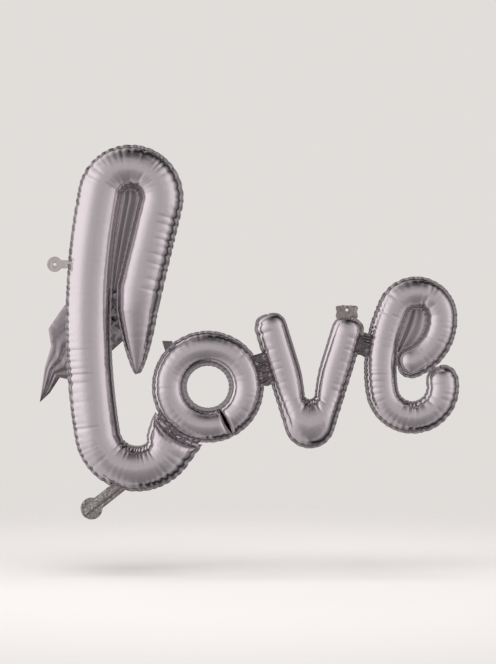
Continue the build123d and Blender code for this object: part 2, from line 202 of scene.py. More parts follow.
def soft_light(name, place, size, power):
    """Rectangular soft light that faces the balloon's middle. The foil mirrors only the room."""
    data = bpy.data.lights.new(name, "AREA")
    data.shape = "RECTANGLE"
    data.size, data.size_y = size
    data.energy = power
    light = bpy.data.objects.new(name, data)
    light.location = place
    light.rotation_euler = (middle - Vector(place)).to_track_quat("-Z", "Y").to_euler()
    light.visible_glossy = False
    bpy.context.collection.objects.link(light)


soft_light("key_softbox", (-2.6, -0.6, 0.2), (0.7, 2.4), 20)
soft_light("floor_fill", (0.4, -0.6, 2.4), (2.6, 2.6), 70)

bm = bmesh.new()
bmesh.ops.create_circle(bm, cap_ends=True, segments=96, radius=FLOOR_SIZE / 2)
bmesh.ops.translate(bm, vec=(middle.x, 0, cad_box[0].z - FLOOR_DROP), verts=bm.verts)
floor_mesh = bpy.data.meshes.new("floor")
bm.to_mesh(floor_mesh)
bm.free()
floor = bpy.data.objects.new("floor", floor_mesh)
bpy.context.collection.objects.link(floor)
floor.visible_glossy = False

# Matt studio paint that thins out towards its rim, so that the floor has no edge against the room.
paint = bpy.data.materials.new("matt_studio_paint")
paint.use_nodes = True
tree = paint.node_tree
tree.nodes.clear()
place = add_node(tree, "ShaderNodeTexCoord")
centred = add_node(
    tree,
    "ShaderNodeMapping",
    {"Location": (-middle.x, 0, 0)},
    {"Vector": place.outputs["Object"]},
)
flat = add_node(
    tree, "ShaderNodeVectorMath", {"operation": "MULTIPLY", 1: (1, 1, 0)}, {0: centred.outputs[0]}
)
away = add_node(tree, "ShaderNodeVectorMath", {"operation": "LENGTH"}, {0: flat.outputs[0]})
fade = add_node(
    tree,
    "ShaderNodeMapRange",
    {"interpolation_type": "SMOOTHSTEP", "From Min": 0.45, "From Max": 1.5},
    {"Value": away.outputs["Value"]},
)
matt = add_node(tree, "ShaderNodeBsdfDiffuse", {"Color": srgb("#EFEDEB")})
clear = add_node(tree, "ShaderNodeBsdfTransparent")
mixed = add_node(
    tree, "ShaderNodeMixShader", links={0: fade.outputs[0], 1: matt.outputs[0], 2: clear.outputs[0]}
)
add_node(tree, "ShaderNodeOutputMaterial", links={"Surface": mixed.outputs[0]})
floor.data.materials.append(paint)

# --- Film and how it is shaped ------------------------------------------------------------------------
# Every chamber is two sheets of nylon film, vacuum-metallised and heat sealed round the edge. Filled
# with air, the flat seam is too long for the tube, so it crimps all the way round it.
SEAM = 5.0 * MM
INNER_SEAM = 3.2 * MM
FILM = 0.3 * MM
# the two sheets lie this far from the seam's middle plane, so that their thickness doesn't cross
SHEET_APART = 0.32 * MM
FLUTTER = 2.6 * MM
SAG = 0.8 * MM
STATION = 1.6 * MM
FINE_STATION = 1.3 * MM
SEAM_ROWS = 2
# rows of vertices crowd towards the seams by this share, and the crown is this power of a circle
ROW_CROWD = 0.10
CROWN_POWER = 0.94
END_FOLD_REACH = 26 * MM
# film thinner than this doesn't crease fully
FULL_CREASE_DEPTH = 18 * MM
# least and most spacing, depth and reach of a crease, as shares of what its seam asks for
CREASE_SPACING = (0.62, 1.4)
CREASE_DEPTH = (0.45, 1.25)
CREASE_REACH = (0.55, 1.6)
CREASE_POWER = 0.7
# a crease pulls the seam in by this share of its depth, and part of it runs fainter and farther
PULL_SHARE = 0.6
PULL_LIMIT = 3.0 * MM
FAINT_SHARE = 0.12
FAINT_REACH = 2.6
# share of the flutter left at the seam's inner edge, and how soon it dies out on the tube
FLUTTER_INSIDE = 0.35
FLUTTER_FADE = 2.5 * MM
# radians per metre of the folds at a walk's end, and waves per metre of the sag
END_FOLD_WAVES = 310
SAG_WAVES = 21


class Walk:
    """Points along a flat path of lines and arcs, with the direction of travel at each."""

    def __init__(self):
        self.points = []
        self.headings = []

    def add(self, point, angle):
        if self.points and (Vector(point) - self.points[-1]).length < 0.2 * MM:
            return
        self.points.append(Vector(point))
        self.headings.append(angle)

    def line(self, start, end, step=STATION):
        start, end = Vector(start), Vector(end)
        count = max(2, round((end - start).length / step))
        angle = math.atan2(end.y - start.y, end.x - start.x)
        for i in range(count + 1):
            self.add(start.lerp(end, i / count), angle)

    def arc(self, centre, radius, start, end, step=STATION):
        """Counter-clockwise arc between two bearings in degrees."""
        count = max(2, round(math.radians(end - start) * radius / step))
        for i in range(count + 1):
            a = math.radians(start + (end - start) * i / count)
            self.add(Vector(centre) + radius * Vector((math.cos(a), math.sin(a))), a + math.pi / 2)

    def lengths(self):
        out = [0.0]
        for a, b in zip(self.points, self.points[1:]):
            out.append(out[-1] + (b - a).length)
        return out


def smooth(x):
    x = min(1.0, max(0.0, x))
    return x * x * (3 - 2 * x)


def round_off(distance, reach, power=2.0):
    """Share of the full width at a distance from a rounded end."""
    if distance >= reach:
        return 1.0
    return max(0.0, 1 - (1 - max(0.0, distance) / reach) ** power) ** (1 / power)


class Crimps:
    """Creases along one seam: uneven cells, each with its own depth and reach up the tube."""

    def __init__(self, along, lengths, pitch, seed):
        draw = random.Random(seed)
        self.edges = [0.0]
        place = 0
        while self.edges[-1] < along[-1]:
            while place + 1 < len(along) and along[place] < self.edges[-1]:
                place += 1
            self.edges.append(self.edges[-1] + pitch(lengths[place]) * draw.uniform(*CREASE_SPACING))
        self.depth = [draw.uniform(*CREASE_DEPTH) for _ in self.edges]
        self.reach = [draw.uniform(*CREASE_REACH) for _ in self.edges]
        self.flutter = [draw.uniform(-1.0, 1.0) for _ in self.edges]
        self.cell = 0

    def at(self, length):
        """(how far a crease cuts in, how far it reaches, the seam's flutter) at a place on the seam."""
        while self.cell and self.edges[self.cell] > length:
            self.cell -= 1
        while self.cell + 2 < len(self.edges) and self.edges[self.cell + 1] < length:
            self.cell += 1
        low, high = self.edges[self.cell], self.edges[self.cell + 1]
        share = min(1.0, max(0.0, (length - low) / (high - low)))
        near = self.cell if share < 0.5 else self.cell + 1
        cut = 1 - math.sin(math.pi * share) ** CREASE_POWER
        wave = math.sin(2 * math.pi * share) * (0.5 + 0.5 * abs(self.flutter[self.cell]))
        drift = self.flutter[self.cell] * (1 - share) + self.flutter[self.cell + 1] * share
        return cut * self.depth[near], self.reach[near], wave + 0.5 * drift


def finish_sheet(name, bm, material, body, nodes, side, thick=FILM, level=1):
    """Turns a bmesh sheet into a piece that rides on a body, with film thickness and smooth faces."""
    bmesh.ops.remove_doubles(bm, verts=bm.verts, dist=0.02 * MM)
    bmesh.ops.dissolve_degenerate(bm, edges=bm.edges, dist=0.01 * MM)
    if sum(f.normal.y * f.calc_area() for f in bm.faces) * side < 0:
        bmesh.ops.reverse_faces(bm, faces=bm.faces)
    for face in bm.faces:
        face.smooth = True
    mesh = bpy.data.meshes.new(name)
    bm.to_mesh(mesh)
    bm.free()
    piece = bpy.data.objects.new(name, mesh)
    bpy.context.collection.objects.link(piece)
    mesh.materials.append(material)
    if level:
        rounding = piece.modifiers.new("rounding", "SUBSURF")
        rounding.levels = rounding.render_levels = level
    wall = piece.modifiers.new("film", "SOLIDIFY")
    wall.thickness = thick
    wall.offset = -1
    if body:
        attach(piece, body)
    if nodes:
        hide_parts(*nodes)
    return piece


def puffed_sheet(walk, side, shape, seed, rows, outer, inner, end_fold=0.0, reach_on=None):
    """One sheet of a tube as a bmesh. side is -1 for the front sheet and 1 for the back one.

    shape(s) gives, at a length along the walk, the tube's reach on its outer (right) and inner (left)
    side, its depth, and the seam's width on both sides. outer and inner each hold two functions of the
    same length, for the seam's crease pitch and its crease depth and reach, and how far the seam
    flutters. end_fold is the depth of the folds at the walk's end. reach_on(s, point) gives a finished
    point a last move.
    """
    lengths = walk.lengths()
    total = lengths[-1]
    count = len(walk.points)
    sizes = [shape(s) for s in lengths]
    across = [Vector((-math.sin(h), math.cos(h))) for h in walk.headings]
    seams = {}
    for sign, index in ((-1, 0), (1, 1)):
        line = [p + n * sign * z[index] for p, n, z in zip(walk.points, across, sizes)]
        leans = []
        for i in range(count):
            a, b = max(0, i - 1), min(count - 1, i + 1)
            run = line[b] - line[a]
            normal = Vector((run.y, -run.x)) * -sign
            if normal.length < 1e-7:
                normal = across[i] * sign
            leans.append(normal.normalized())
        along = [0.0]
        for a, b in zip(line, line[1:]):
            along.append(along[-1] + (b - a).length)
        seams[sign] = (line, leans, along)
    pitch = {-1: outer[0], 1: inner[0]}
    crimps = {sign: Crimps(seams[sign][2], lengths, pitch[sign], seed + sign) for sign in (-1, 1)}
    rules = {-1: outer[1], 1: inner[1]}
    loose = {-1: outer[2], 1: inner[2]}
    total_rows = rows + 2 * SEAM_ROWS
    bm = bmesh.new()
    bmesh.ops.create_grid(bm, x_segments=count - 1, y_segments=total_rows, size=1)
    seal = bm.verts.layers.float.new("seal")
    for vert in bm.verts:
        i = round((vert.co.x + 1) / 2 * (count - 1))
        row = round((vert.co.y + 1) / 2 * total_rows)
        right, left, depth, seam_right, seam_left = sizes[i]
        s = lengths[i]
        if row <= SEAM_ROWS or row >= total_rows - SEAM_ROWS:
            sign = -1 if row <= SEAM_ROWS else 1
            out = (SEAM_ROWS - row if sign < 0 else row - total_rows + SEAM_ROWS) / SEAM_ROWS
            line, leans, along = seams[sign]
            strength, reach = rules[sign](s)
            cut, _, wave = crimps[sign].at(along[i])
            wide = (seam_right if sign < 0 else seam_left) * out
            pull = min(strength, PULL_LIMIT) * cut * PULL_SHARE
            spot = line[i] + leans[i] * (wide - pull)
            flutter = wave * loose[sign] * (FLUTTER_INSIDE + (1 - FLUTTER_INSIDE) * out)
            vert.co = (spot.x, flutter + side * SHEET_APART, spot.y)
            vert[seal] = 1.0
        else:
            angle = ((row - SEAM_ROWS) / rows - 0.5) * math.pi
            angle *= 1 - ROW_CROWD * math.cos(angle)
            half, mid = (right + left) / 2, (left - right) / 2
            offset = mid + half * math.sin(angle)
            rise = depth * math.cos(angle) ** CROWN_POWER
            push = 0.0
            lift = 0.0
            for sign in (-1, 1):
                line, leans, along = seams[sign]
                strength, reach = rules[sign](s)
                cut, far, wave = crimps[sign].at(along[i])
                gap = (math.pi / 2 - sign * angle) * (half + depth) / 2
                fall = math.exp(-((gap / (reach * far)) ** 1.25))
                faint = math.exp(-((gap / (FAINT_REACH * reach * far)) ** 2))
                push -= strength * cut * ((1 - FAINT_SHARE) * fall + FAINT_SHARE * faint)
                lift += wave * loose[sign] * FLUTTER_INSIDE * math.exp(-gap / FLUTTER_FADE)
            if end_fold:
                fade = math.exp(-(((total - s) / END_FOLD_REACH) ** 2))
                ripple = abs(math.sin(offset * END_FOLD_WAVES + seed)) ** CREASE_POWER
                push -= end_fold * fade * ripple * math.cos(angle)
            point = walk.points[i] + across[i] * offset
            sag = noise.noise(Vector((point.x * SAG_WAVES, side * 3.1 + seed, point.y * SAG_WAVES)))
            push += sag * SAG * math.cos(angle)
            push *= min(1.0, depth / FULL_CREASE_DEPTH)
            spot = point + across[i] * math.sin(angle) * push
            vert.co = (spot.x, side * (rise + push * math.cos(angle) + SHEET_APART) + lift, spot.y)
            vert[seal] = 0.0
        if reach_on:
            vert.co += reach_on(s, vert.co)
    return bm


# Metallised film: a mirror-bright vacuum-deposited aluminium coat on thin nylon. The film is never
# quite flat, so mirrored edges waver, and the heat seal is a little duller with fine press lines.
def film_material(name, colour, seal_colour, rough, crinkle, seal_rough, grain=1.0):
    material = bpy.data.materials.new(name)
    material.use_nodes = True
    tree = material.node_tree
    tree.nodes.clear()
    place = add_node(tree, "ShaderNodeTexCoord")
    sealed = add_node(tree, "ShaderNodeAttribute", {"attribute_name": "seal"})
    waver = add_node(
        tree,
        "ShaderNodeTexNoise",
        {"Scale": 26.0 * grain, "Detail": 2.0, "Roughness": 0.45, "Distortion": 0.4},
        {"Vector": place.outputs["Object"]},
    )
    crinkles = add_node(
        tree,
        "ShaderNodeTexVoronoi",
        {"feature": "DISTANCE_TO_EDGE", "Scale": 70.0 * grain, "Randomness": 1.0},
        {"Vector": place.outputs["Object"]},
    )
    soft = add_node(
        tree,
        "ShaderNodeMapRange",
        {"interpolation_type": "SMOOTHSTEP", "From Min": 0.0, "From Max": 0.35},
        {"Value": crinkles.outputs["Distance"]},
    )
    # heat-seal lines, about 2 mm apart
    lines = add_node(
        tree,
        "ShaderNodeTexWave",
        {"wave_type": "BANDS", "bands_direction": "DIAGONAL", "Scale": 190.0, "Distortion": 0.3},
        {"Vector": place.outputs["Object"]},
    )
    broad = add_node(
        tree, "ShaderNodeBump", {"Strength": 0.22 * crinkle, "Distance": 0.0025}, {"Height": waver.outputs[0]}
    )
    fine = add_node(
        tree,
        "ShaderNodeBump",
        {"Strength": 0.10 * crinkle, "Distance": 0.0008},
        {"Height": soft.outputs[0], "Normal": broad.outputs[0]},
    )
    press = add_node(
        tree,
        "ShaderNodeMath",
        {"operation": "MULTIPLY"},
        {0: lines.outputs["Fac"], 1: sealed.outputs["Fac"]},
    )
    ribbed = add_node(
        tree,
        "ShaderNodeBump",
        {"Strength": 0.03, "Distance": 0.0003},
        {"Height": press.outputs[0], "Normal": fine.outputs[0]},
    )
    haze = add_node(
        tree,
        "ShaderNodeTexNoise",
        {"Scale": 9.0, "Detail": 3.0, "Roughness": 0.6},
        {"Vector": place.outputs["Object"]},
    )
    base_rough = add_node(
        tree,
        "ShaderNodeMapRange",
        {"From Min": 0.3, "From Max": 0.7, "To Min": rough * 0.8, "To Max": rough * 1.25},
        {"Value": haze.outputs[0]},
    )
    roughness = add_node(
        tree,
        "ShaderNodeMix",
        {"data_type": "FLOAT", 3: seal_rough},
        {0: sealed.outputs["Fac"], 2: base_rough.outputs[0]},
    )
    coat = add_node(
        tree,
        "ShaderNodeMix",
        {"data_type": "RGBA", 6: srgb(colour), 7: srgb(seal_colour)},
        {0: sealed.outputs["Fac"]},
    )
    metal = add_node(
        tree,
        "ShaderNodeBsdfPrincipled",
        {"Metallic": 1.0},
        {"Base Color": coat.outputs[2], "Roughness": roughness.outputs[0], "Normal": ribbed.outputs[0]},
    )
    add_node(tree, "ShaderNodeOutputMaterial", links={"Surface": metal.outputs[0]})
    return material


mirror_film = film_material("vacuum_metallised_nylon_film", "#DBD6DA", "#AEA9AC", 0.16, 1.0, 0.27)
SIDES = ((-1, "front"), (1, "back"))


def letter_sheets(letter, walk, shape, seed, rows, outer, inner, end_fold=0.0, reach_on=None, level=1):
    """A letter's front and back sheets, which ride on it and stand for its two CAD films."""
    for side, word in SIDES:
        sheet = puffed_sheet(walk, side, shape, seed, rows, outer, inner, end_fold, reach_on)
        piece = finish_sheet(
            f"{letter}_{word}_sheet",
            sheet,
            mirror_film,
            f"letter_{letter}",
            [f"{letter}_{word}_foil"],
            side,
            level=level,
        )


# --- Letter l -----------------------------------------------------------------------------------------
# The l is one tube of film: it starts as a pointed leaf, climbs into the loop, comes down the stem
# and swings round the bottom to the fold line where the o hangs on.
L_TUBE = 38 * MM
L_TOP = Vector((138.5, 121.5)) * MM
L_TOP_RADIUS = 54 * MM
L_BOTTOM = Vector((150.0, -300.0)) * MM
L_BOTTOM_RADIUS = 72 * MM
L_STEM_RADIUS = 1260 * MM
L_LIMB_SLANT = 13.5
L_LIMB = 176 * MM
L_FOOT = 134 * MM
LO_ACROSS = math.radians(54.3)
O_SEAM_RADIUS = 102.5 * MM
# share of the ring's curve that the stroke's end follows
RING_FOLLOWED = 0.86


def joining_centre(top, top_radius, bottom, bottom_radius, radius):
    """Centre of the large circle whose left side touches both small circles from outside."""
    to_top, to_bottom, apart = radius - top_radius, radius - bottom_radius, (bottom - top).length
    along = (apart**2 + to_top**2 - to_bottom**2) / (2 * apart)
    off = math.sqrt(to_top**2 - along**2)
    u = (bottom - top) / apart
    return top + along * u + off * Vector((-u.y, u.x))


def bearing(a, b):
    return math.degrees(math.atan2(b.y - a.y, b.x - a.x)) % 360


def joint_place(name):
    """A fold's place in the word's plane, from the record."""
    joint = next(j for j in frame["joints"] if j["name"] == name)
    return Vector((joint["pos_m"][0], joint["pos_m"][2]))


def joint_across(name):
    """The way across a fold line, in the word's plane, from the record."""
    joint = next(j for j in frame["joints"] if j["name"] == name)
    return Vector((joint["axis"][2], -joint["axis"][0]))


l_stem = joining_centre(L_TOP, L_TOP_RADIUS, L_BOTTOM, L_BOTTOM_RADIUS, L_STEM_RADIUS)
limb_up = Vector((math.sin(math.radians(L_LIMB_SLANT)), math.cos(math.radians(L_LIMB_SLANT))))
limb_top = L_TOP + Vector((limb_up.y, -limb_up.x)) * L_TOP_RADIUS
limb_foot = limb_top - limb_up * L_LIMB
leaf_tip = limb_foot - Vector((0, L_FOOT + 3 * MM))
l_top_left = bearing(l_stem, L_TOP)
l_bottom_left = bearing(l_stem, L_BOTTOM)
l_bottom_end = 360 + math.degrees(LO_ACROSS) - 90
lo_across = Vector((math.cos(LO_ACROSS), math.sin(LO_ACROSS)))
lo_point = joint_place("fold_l_o")
exit_start = L_BOTTOM + L_BOTTOM_RADIUS * Vector((lo_across.y, -lo_across.x))
exit_length = (lo_point - exit_start).dot(lo_across) - 1 * MM

l_walk = Walk()
l_walk.line(leaf_tip, leaf_tip + Vector((0, 10 * MM)), 1.2 * MM)
l_walk.line(leaf_tip + Vector((0, 10 * MM)), limb_foot - Vector((0, 22 * MM)))
l_walk.line(limb_foot + limb_up * 14 * MM, limb_top)
l_walk.arc(L_TOP, L_TOP_RADIUS, -L_LIMB_SLANT, l_top_left)
l_walk.arc(l_stem, L_STEM_RADIUS, l_top_left, l_bottom_left)
l_walk.arc(L_BOTTOM, L_BOTTOM_RADIUS, l_bottom_left, l_bottom_end)
l_walk.line(exit_start, exit_start + lo_across * exit_length, 2.2 * MM)
l_lengths = l_walk.lengths()
l_total = l_lengths[-1]
EXIT_REACH = 62 * MM
EXIT_FLARE = 21 * MM
LEAF_TAPER = 150 * MM
# the creases deepen within these lengths of the loop's top and of the valley under it
LOOP_REACH = 110 * MM
VALLEY_REACH = 120 * MM
RING_BLEND = 45 * MM


def l_shape(s):
    left = l_total - s
    taper = round_off(s, LEAF_TAPER, 1.35)
    widen = smooth(1 - left / EXIT_REACH)
    close = round_off(left - SEAM, 15 * MM)
    size = max(L_TUBE * taper, 0.0)
    outer_seam = SEAM * smooth(s / (8 * MM) + 0.3)
    return (size, size + EXIT_FLARE * widen, size * close, outer_seam, INNER_SEAM)


def l_outer(s):
    bent = smooth((s / l_total - 0.02) * 9) - 0.55 * smooth(1 - abs(s / l_total - 0.55) / 0.2)
    return 4.2 * MM * bent, 17 * MM


def l_bends(s):
    """How tightly the inner seam is bent: over the loop's top and in the valley at the foot of the stem."""
    top = smooth(1 - abs(s - l_top_at) / LOOP_REACH)
    bottom = smooth(1 - abs(s - l_bottom_at) / VALLEY_REACH)
    return max(top, bottom)


def l_inner(s):
    return (1.0 + 3.6 * l_bends(s)) * MM, (7 + 15 * l_bends(s)) * MM


l_top_at = l_lengths[max(range(len(l_lengths)), key=lambda i: l_walk.points[i].y)]
l_bottom_at = l_lengths[min(range(len(l_lengths)), key=lambda i: l_walk.points[i].y)]


def l_reach_on(s, point):
    """Curves the end of the stroke to lie along the ring of the o, past the straight fold line."""
    share = smooth(1 - (l_total - s) / RING_BLEND)
    beside = (Vector((point.x, point.z)) - lo_point).dot(Vector((-lo_across.y, lo_across.x)))
    grow = share * beside**2 / (2 * O_SEAM_RADIUS) * RING_FOLLOWED
    return Vector((lo_across.x, 0, lo_across.y)) * grow


letter_sheets(
    "l",
    l_walk,
    l_shape,
    seed=11,
    rows=32,
    outer=(lambda s: 14 * MM, l_outer, FLUTTER),
    inner=(lambda s: (13 - 8 * l_bends(s)) * MM, l_inner, 0.9 * MM),
    end_fold=3.0 * MM,
    reach_on=l_reach_on,
    level=0,
)

# --- Letter o -----------------------------------------------------------------------------------------
# The o is a ring of film whose two ends meet at one radial seam, drawn in to a sharp crease.
O_CENTRE = Vector((279.5, -223.5)) * MM
O_RING = 71.5 * MM
O_TUBE = 26 * MM
O_SLIT = -62.5
SLIT_DEPTH = 0.82
SLIT_REACH = 4.2 * MM

o_walk = Walk()
o_walk.arc(O_CENTRE, O_RING, O_SLIT, O_SLIT + 360, 2.4 * MM)
o_total = o_walk.lengths()[-1]


def o_shape(s):
    gap = min(s, o_total - s)
    pinch = 1 - SLIT_DEPTH * math.exp(-((gap / SLIT_REACH) ** 1.2))
    return (O_TUBE, O_TUBE, O_TUBE * pinch, SEAM, 1.5 * SEAM)


letter_sheets(
    "o",
    o_walk,
    o_shape,
    seed=23,
    rows=24,
    outer=(lambda s: 12.5 * MM, lambda s: (3.6 * MM, 13 * MM), FLUTTER),
    inner=(lambda s: 9 * MM, lambda s: (1.4 * MM, 9 * MM), 0.5 * MM),
)

# --- Letter v -----------------------------------------------------------------------------------------
# The v is one tube bent sharply: its film gathers in deep folds round the crotch and swells below it.
V_TUBE = 26 * MM
V_LEFT_TOP = Vector((396.0, -118.0)) * MM
V_RIGHT_TOP = Vector((533.0, -124.0)) * MM
V_ARM_DEGREES = 72.9
V_ARM = math.radians(V_ARM_DEGREES)
V_CROTCH = Vector((465.4, -232.0)) * MM
V_BEND = 32.7 * MM
V_BULB = 42 * MM
V_BULB_DROP = 57.5 * MM
V_BULB_SPAN = math.radians(30)
V_DEPTH = 37 * MM
V_DRAWN_IN = 10 * MM
V_DRAW_REACH = 95 * MM
V_FOLD_REACH = 64 * MM

v_walk = Walk()
v_down = Vector((math.cos(V_ARM), -math.sin(V_ARM)))
v_up = Vector((math.cos(V_ARM), math.sin(V_ARM)))
v_left_end = V_CROTCH + Vector((-math.sin(V_ARM), -math.cos(V_ARM))) * V_BEND
v_right_end = V_CROTCH + Vector((math.sin(V_ARM), -math.cos(V_ARM))) * V_BEND
v_walk.line(V_LEFT_TOP - v_down * V_TUBE, V_LEFT_TOP - v_down * V_TUBE * 0.5, FINE_STATION)
v_walk.line(V_LEFT_TOP - v_down * V_TUBE * 0.5, v_left_end)
v_walk.arc(V_CROTCH, V_BEND, 270 - V_ARM_DEGREES, 270 + V_ARM_DEGREES, FINE_STATION)
v_walk.line(v_right_end, V_RIGHT_TOP + v_up * V_TUBE * 0.5)
v_walk.line(V_RIGHT_TOP + v_up * V_TUBE * 0.5, V_RIGHT_TOP + v_up * V_TUBE, FINE_STATION)
v_lengths = v_walk.lengths()
v_total = v_lengths[-1]
v_bend_at = (v_left_end - (V_LEFT_TOP - v_down * V_TUBE)).length + V_ARM * V_BEND


def v_shape(s):
    tip = min(round_off(s, V_TUBE, 2.4), round_off(v_total - s, V_TUBE, 2.4))
    swing = (s - v_bend_at) / V_BEND
    if abs(swing) < V_BULB_SPAN:
        reach = V_BULB_DROP * math.cos(swing) + math.sqrt(
            V_BULB**2 - (V_BULB_DROP * math.sin(swing)) ** 2
        )
        right = reach - V_BEND
    elif abs(swing) < V_ARM:
        right = (V_BEND + V_TUBE) / math.cos(V_ARM - abs(swing)) - V_BEND
    else:
        right = V_TUBE
    swell = smooth(1 - abs(s - v_bend_at) / (V_ARM * V_BEND * 1.35))
    drawn_in = V_DRAWN_IN * smooth(1 - abs(s - v_bend_at) / V_DRAW_REACH)
    depth = V_TUBE + (V_DEPTH - V_TUBE) * swell
    return (right * tip, V_TUBE * tip - drawn_in, depth * tip, SEAM, INNER_SEAM)


def v_fold(s):
    return smooth(1 - abs(s - v_bend_at) / V_FOLD_REACH)


def v_inner(s):
    return (1.0 + 3.8 * v_fold(s)) * MM, (6 + 17 * v_fold(s)) * MM


letter_sheets(
    "v",
    v_walk,
    v_shape,
    seed=37,
    rows=26,
    outer=(lambda s: 12.5 * MM, lambda s: (3.4 * MM, 13 * MM), FLUTTER),
    inner=(lambda s: (12 - 7 * v_fold(s)) * MM, v_inner, 1.1 * MM),
)

# --- Letter e -----------------------------------------------------------------------------------------
# The e is one tube: a crossbar that rises into the upper loop, the left side and the open bowl.
E_TUBE = 26 * MM
E_LOOP = Vector((660.0, -97.0)) * MM
E_LOOP_RADIUS = 44 * MM
E_BAR_RADIUS = 83 * MM
E_BAR_START = -68.0
E_BAR_JOIN = 4.4
E_BOWL = Vector((652.5, -223.5)) * MM
E_BOWL_RADIUS = 55 * MM
E_BOWL_END = 10.0
E_SIDE_RADIUS = 266 * MM

e_join = Vector((math.cos(math.radians(E_BAR_JOIN)), math.sin(math.radians(E_BAR_JOIN))))
e_bar = E_LOOP - e_join * (E_BAR_RADIUS - E_LOOP_RADIUS)
e_side = joining_centre(E_LOOP, E_LOOP_RADIUS, E_BOWL, E_BOWL_RADIUS, E_SIDE_RADIUS)
e_side_top = bearing(e_side, E_LOOP)
e_side_bottom = bearing(e_side, E_BOWL)


def at_bearing(centre, radius, degrees):
    a = math.radians(degrees)
    return centre + radius * Vector((math.cos(a), math.sin(a))), Vector((-math.sin(a), math.cos(a)))


e_start, e_start_way = at_bearing(e_bar, E_BAR_RADIUS, E_BAR_START)
e_end, e_end_way = at_bearing(E_BOWL, E_BOWL_RADIUS, E_BOWL_END)
e_walk = Walk()
e_walk.line(e_start - e_start_way * E_TUBE, e_start - e_start_way * E_TUBE * 0.5, FINE_STATION)
e_walk.line(e_start - e_start_way * E_TUBE * 0.5, e_start, 2.2 * MM)
e_walk.arc(e_bar, E_BAR_RADIUS, E_BAR_START, E_BAR_JOIN, 2.4 * MM)
e_walk.arc(E_LOOP, E_LOOP_RADIUS, E_BAR_JOIN, e_side_top, 2.0 * MM)
e_walk.arc(e_side, E_SIDE_RADIUS, e_side_top, e_side_bottom)
e_walk.arc(E_BOWL, E_BOWL_RADIUS, e_side_bottom, 360 + E_BOWL_END, 2.2 * MM)
e_walk.line(e_end, e_end + e_end_way * E_TUBE * 0.5, 2.2 * MM)
e_walk.line(e_end + e_end_way * E_TUBE * 0.5, e_end + e_end_way * E_TUBE, FINE_STATION)
e_total = e_walk.lengths()[-1]


def e_shape(s):
    tip = min(round_off(s, E_TUBE, 2.2), round_off(e_total - s, E_TUBE, 2.2))
    return (E_TUBE * tip, E_TUBE * tip, E_TUBE * tip, SEAM, INNER_SEAM)


def e_fold(s):
    share = s / e_total
    return max(smooth(1 - abs(share - 0.28) / 0.18), smooth(1 - abs(share - 0.80) / 0.18))


def e_inner(s):
    return (1.2 + 3.8 * e_fold(s)) * MM, (6 + 18 * e_fold(s)) * MM


letter_sheets(
    "e",
    e_walk,
    e_shape,
    seed=53,
    rows=24,
    outer=(lambda s: 12 * MM, lambda s: (3.4 * MM, 13 * MM), FLUTTER),
    inner=(lambda s: (11 - 4 * e_fold(s)) * MM, e_inner, 0.8 * MM),
)

# --- Film inside the loops ----------------------------------------------------------------------------
# The loop of the l and the eye of the e aren't cut out: both films are welded flat there. The welded
# film is too wide for the drawn-in loop, so it buckles lengthwise.


def nearest_place(walk, height, start=0.0, end=math.inf):
    """Length along a walk where it comes nearest to a height, between two lengths."""
    lengths = walk.lengths()
    inside = [i for i, s in enumerate(lengths) if start < s < end]
    return lengths[min(inside, key=lambda i: abs(walk.points[i].y - height))]


def along_walk(walk, start, end, count, offset):
    """Points at even steps between two places on a walk, moved to its left by an offset."""
    lengths = walk.lengths()
    points = []
    index = 0
    for i in range(count):
        s = start + (end - start) * i / (count - 1)
        while index + 2 < len(lengths) and lengths[index + 1] < s:
            index += 1
        while index and lengths[index] > s:
            index -= 1
        share = (s - lengths[index]) / (lengths[index + 1] - lengths[index])
        share = min(1.0, max(0.0, share))
        point = walk.points[index].lerp(walk.points[index + 1], share)
        swing = walk.headings[index + 1] - walk.headings[index]
        swing = (swing + math.pi) % (2 * math.pi) - math.pi
        heading = walk.headings[index] + swing * share
        points.append(point + Vector((-math.sin(heading), math.cos(heading))) * offset)
    return points


def ruled_sheet(one, other, rows, rise):
    """Bmesh sheet ruled between two lines of points. rise(along, across, point) gives its Y."""
    count = len(one)
    bm = bmesh.new()
    bmesh.ops.create_grid(bm, x_segments=count - 1, y_segments=rows, size=1)
    seal = bm.verts.layers.float.new("seal")
    for vert in bm.verts:
        i = round((vert.co.x + 1) / 2 * (count - 1))
        across = (vert.co.y + 1) / 2
        point = one[i].lerp(other[i], across)
        vert.co = (point.x, rise(i / (count - 1), across, point), point.y)
        vert[seal] = 0.0
    return bm


def crumple(point, size, height, seed=0.0):
    """Sharp-edged crumples of a given size and height."""
    spot = Vector((point.x / size, point.y / size, seed))
    ridge = 1 - abs(noise.noise(spot)) * 2.2
    return height * (ridge - 0.5) + height * 0.4 * noise.noise(spot * 2.7)


# the welded film's lengthwise fold: shares of its width, and the depth there as a share of the width
BUCKLE = [(0.0, 0.0), (0.22, 0.02), (0.44, 0.24), (0.90, 0.02), (1.0, 0.0)]
LOOP_STATIONS = 90


def buckle(across, width):
    """Lengthwise folds of the welded film: its height at a share of its width."""
    for (a, low), (b, high) in zip(BUCKLE, BUCKLE[1:]):
        if across <= b:
            return width * (low + (high - low) * smooth((across - a) / (b - a)))
    return 0.0


def loop_film(name, walk, apex, left_end, right_end, inset, body):
    """Welded film in a loop, from its apex down to the ends on its two sides."""
    left = along_walk(walk, apex, left_end, LOOP_STATIONS, inset)
    right = along_walk(walk, apex, right_end, LOOP_STATIONS, inset)
    widths = [(b - a).length for a, b in zip(left, right)]

    def rise(along, across, point):
        width = widths[round(along * (LOOP_STATIONS - 1))]
        return buckle(across, width) + crumple(point, 0.06, 0.2 * MM)

    bm = ruled_sheet(left, right, 28, rise)
    finish_sheet(name, bm, loop_coat_painted_shade, body, [], -1)
